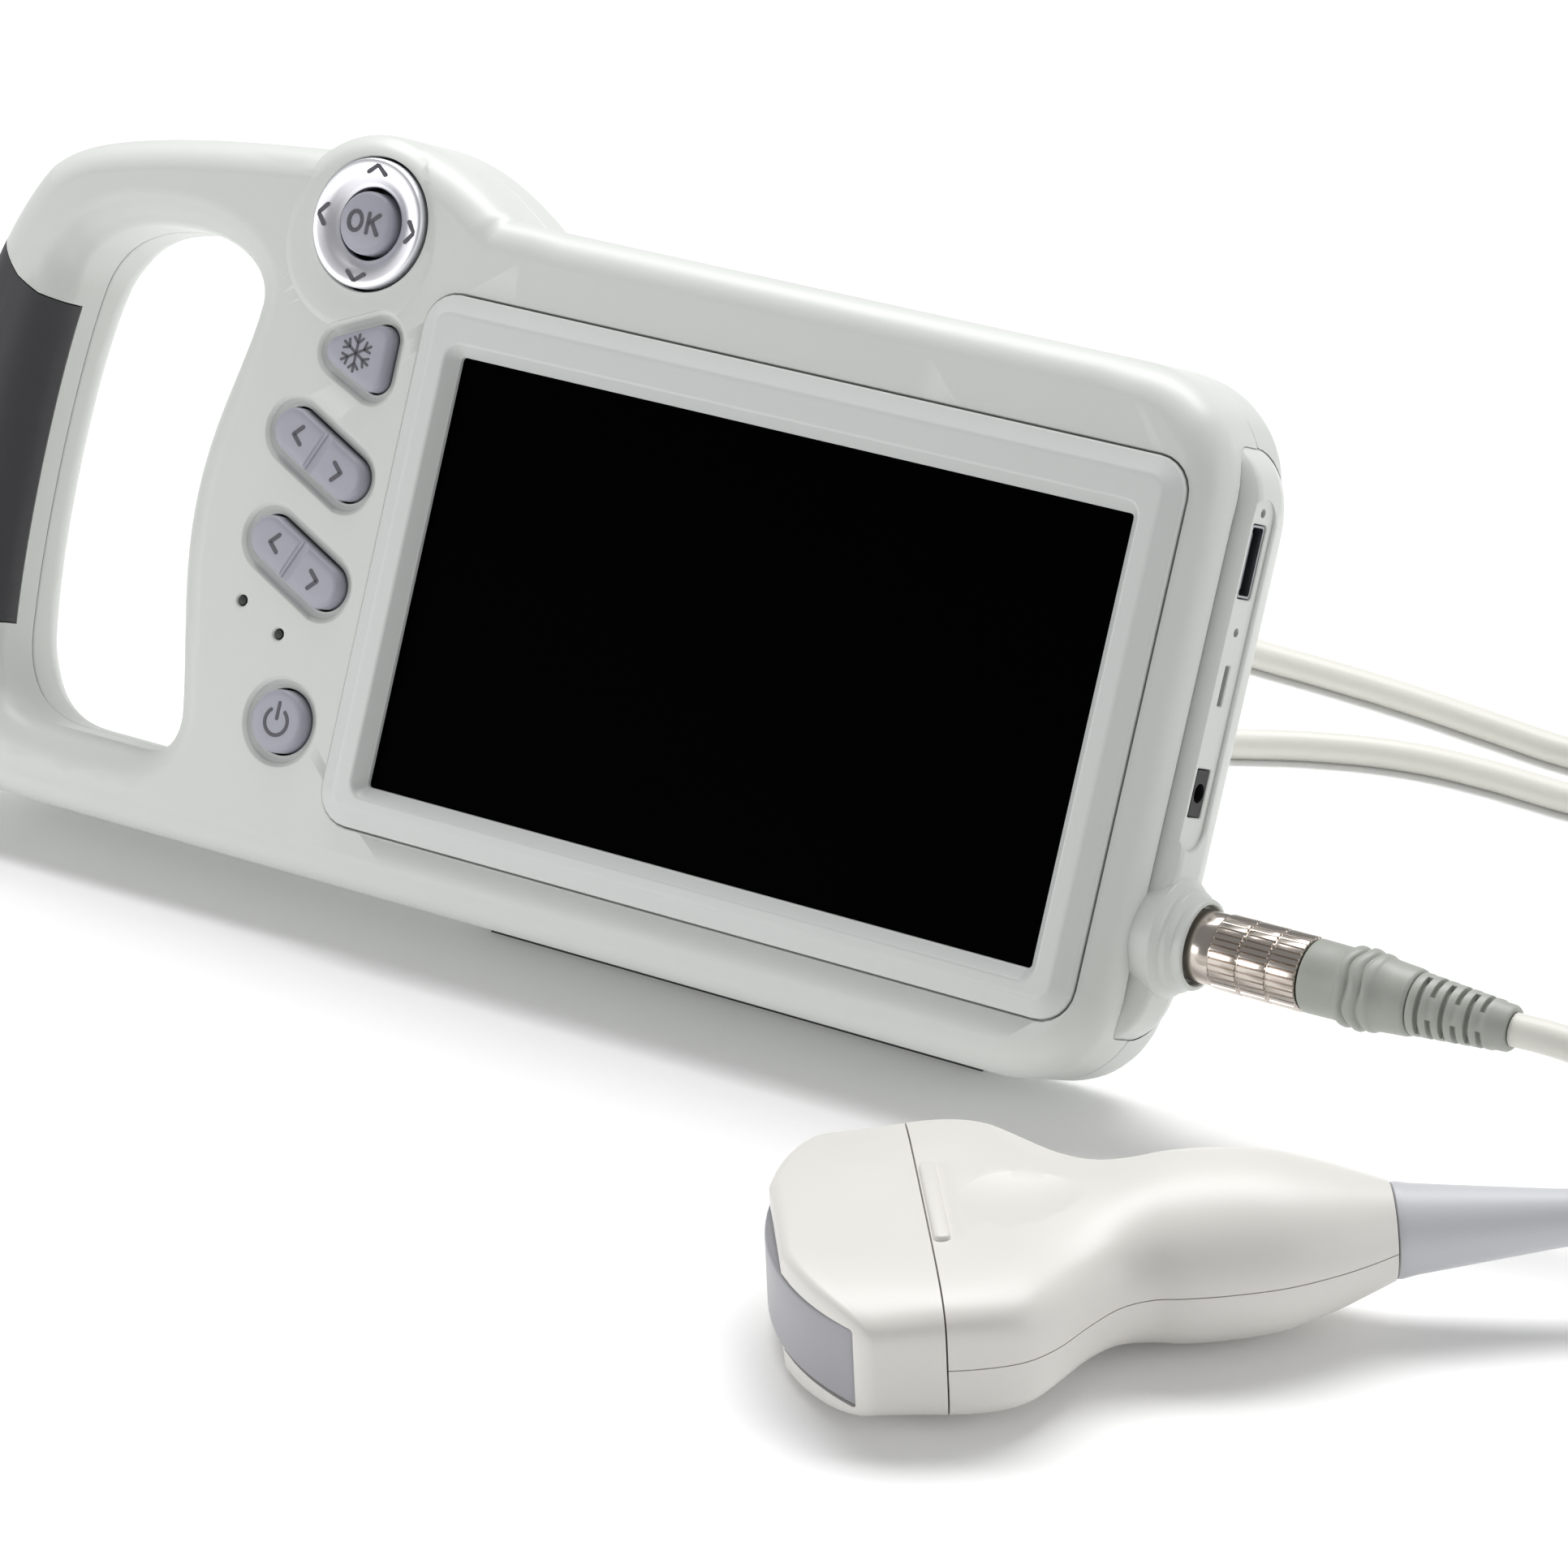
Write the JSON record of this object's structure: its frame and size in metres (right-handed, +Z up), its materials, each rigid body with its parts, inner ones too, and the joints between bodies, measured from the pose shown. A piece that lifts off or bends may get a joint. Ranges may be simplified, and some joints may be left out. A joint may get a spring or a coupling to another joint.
{
  "type": "ultrasound scanner",
  "caption": "Handheld veterinary ultrasound scanner: leaned console with screen, keys and a grip handle, and a convex probe on a cable.",
  "frame": {"origin": "middle of the underside of the rubber strip that the console stands on, on the floor", "axes": "+X along the screen towards the plug, +Y away from the viewer, +Z up"},
  "size_m": [0.4782, 0.3535, 0.1484],
  "materials": {
    "shell_plastic": "satin",
    "bezel_plastic": "satin",
    "screen_glass": "gloss",
    "grip_rubber": "matte",
    "key_plastic": "satin",
    "satin_metal": "satin",
    "nickel_plate": "gloss",
    "black_plastic": "satin",
    "board_laminate": "satin",
    "battery_wrap": "satin",
    "grey_mould": "satin",
    "boot_rubber": "satin",
    "cable_jacket": "satin",
    "probe_plastic": "satin",
    "lens_silicone": "satin",
    "steel": "satin",
    "foot_rubber": "matte"
  },
  "bodies": {
    "scanner": {"array_backing": "black_plastic", "battery_pack": "battery_wrap", "card_slot": "black_plastic", "case_screw_1": "steel", "case_screw_2": "steel", "case_screw_3": "steel", "case_screw_4": "steel", "cord_coil": "cable_jacket", "cord_plug_run": "cable_jacket", "cord_probe_run": "cable_jacket", "crystal_array": "satin_metal", "data_port": "satin_metal", "end_cap": "shell_plastic", "foot_strip": "foot_rubber", "front_case": "shell_plastic", "grip_pad": "grip_rubber", "key_board": "board_laminate", "key_mat": "foot_rubber", "lcd_panel": "black_plastic", "led_charge": "black_plastic", "led_power": "black_plastic", "main_board": "board_laminate", "plug_body": "grey_mould", "plug_boot": "grey_mould", "plug_insert": "nickel_plate", "power_jack": "black_plastic", "probe_board": "board_laminate", "probe_boot": "boot_rubber", "probe_bottom_shell": "probe_plastic", "probe_lens": "lens_silicone", "probe_nose": "probe_plastic", "probe_socket": "black_plastic", "probe_top_shell": "probe_plastic", "rear_case": "shell_plastic", "screen_bezel": "bezel_plastic", "screen_window": "screen_glass", "stand_pin_left": "steel", "stand_pin_right": "steel"},
    "freeze_key": {"freeze_button": "key_plastic"},
    "upper_rocker": {"rocker_upper": "key_plastic"},
    "lower_rocker": {"rocker_lower": "key_plastic"},
    "power_key": {"power_button": "key_plastic"},
    "ok_key": {"ok_button": "key_plastic"},
    "dial_gimbal": {"nav_gimbal": "black_plastic"},
    "dial_ring": {"nav_ring": "satin_metal"},
    "plug_collar": {"plug_sleeve": "nickel_plate"},
    "stand": {"rear_stand": "shell_plastic", "stand_foot": "foot_rubber"}
  },
  "joints": [
    {"name": "freeze_press", "type": "slide", "parent": "scanner", "child": "freeze_key", "axis": [0, 0.9184, -0.3955], "range_m": [0, 0.0008], "stiffness_N_per_m": 700, "springref_m": -0.0006},
    {"name": "power_press", "type": "slide", "parent": "scanner", "child": "power_key", "axis": [0, 0.9184, -0.3955], "range_m": [0, 0.0008], "stiffness_N_per_m": 700, "springref_m": -0.0006},
    {"name": "ok_press", "type": "slide", "parent": "scanner", "child": "ok_key", "axis": [0, 0.9184, -0.3955], "range_m": [0, 0.0008], "stiffness_N_per_m": 700, "springref_m": -0.0006},
    {"name": "rocker_upper_tilt", "type": "hinge", "parent": "scanner", "child": "upper_rocker", "pos_m": [-0.10525, 0.01018, 0.08815], "axis": [0.4289, 0.3573, 0.8297], "range_deg": [-3, 3], "stiffness_Nm_per_rad": 0.08},
    {"name": "rocker_lower_tilt", "type": "hinge", "parent": "scanner", "child": "lower_rocker", "pos_m": [-0.10525, 0.00146, 0.06789], "axis": [0.4289, 0.3573, 0.8297], "range_deg": [-3, 3], "stiffness_Nm_per_rad": 0.08},
    {"name": "dial_tilt_up_down", "type": "hinge", "parent": "scanner", "child": "dial_gimbal", "pos_m": [-0.10525, 0.02921, 0.13108], "axis": [1, 0, 0], "range_deg": [-3, 3], "stiffness_Nm_per_rad": 0.12},
    {"name": "dial_tilt_left_right", "type": "hinge", "parent": "dial_gimbal", "child": "dial_ring", "pos_m": [-0.10525, 0.02921, 0.13108], "axis": [0, 0.3955, 0.9184], "range_deg": [-3, 3], "stiffness_Nm_per_rad": 0.12},
    {"name": "plug_collar_turn", "type": "hinge", "parent": "scanner", "child": "plug_collar", "pos_m": [0.1145, 0.00305, 0.03619], "axis": [1, 0, 0], "range_deg": [0, 90]},
    {"name": "stand_fold", "type": "hinge", "parent": "scanner", "child": "stand", "pos_m": [-0.008, 0.03836, 0.08658], "axis": [1, 0, 0], "range_deg": [-34, 0]}
  ]
}
